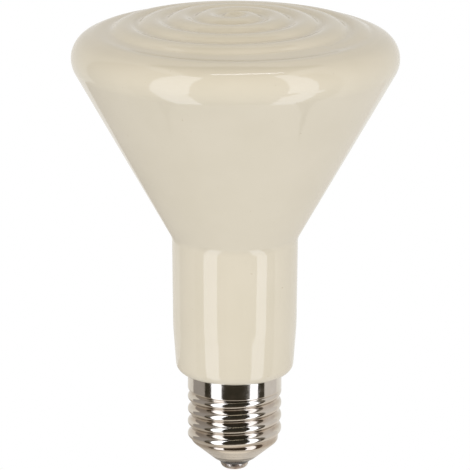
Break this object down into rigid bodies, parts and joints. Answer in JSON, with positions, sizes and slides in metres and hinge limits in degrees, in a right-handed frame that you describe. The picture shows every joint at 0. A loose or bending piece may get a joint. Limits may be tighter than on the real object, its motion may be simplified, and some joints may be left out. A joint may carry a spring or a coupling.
{
  "type": "ceramic heat emitter",
  "caption": "Screw-in ceramic heater with a flared cone, a domed face with a spiral ridge, a plain neck and an E27 screw cap.",
  "frame": {"origin": "middle of the flat bottom of the centre contact", "axes": "+Z along the axis from the screw cap to the domed face; -Y is the front, as seen in the picture, and +X is to its right"},
  "size_m": [0.09, 0.09, 0.1302],
  "materials": {
    "glazed_body": "glossy cream glaze",
    "cement": "rough refractory cement",
    "nickel_plate": "polished nickel plate on brass",
    "black_glass": "opaque black glass",
    "contact_plate": "nickel-plated brass, tinned and slightly tarnished",
    "solder": "soft satin solder",
    "lead_wire": "drawn nickel wire"
  },
  "bodies": {
    "root": {"ceramic_body": "glazed_body", "cap_cement": "cement", "screw_shell": "nickel_plate", "base_insulator": "black_glass", "centre_contact": "contact_plate", "contact_solder": "solder", "centre_lead": "lead_wire", "shell_lead": "lead_wire"}
  },
  "joints": []
}
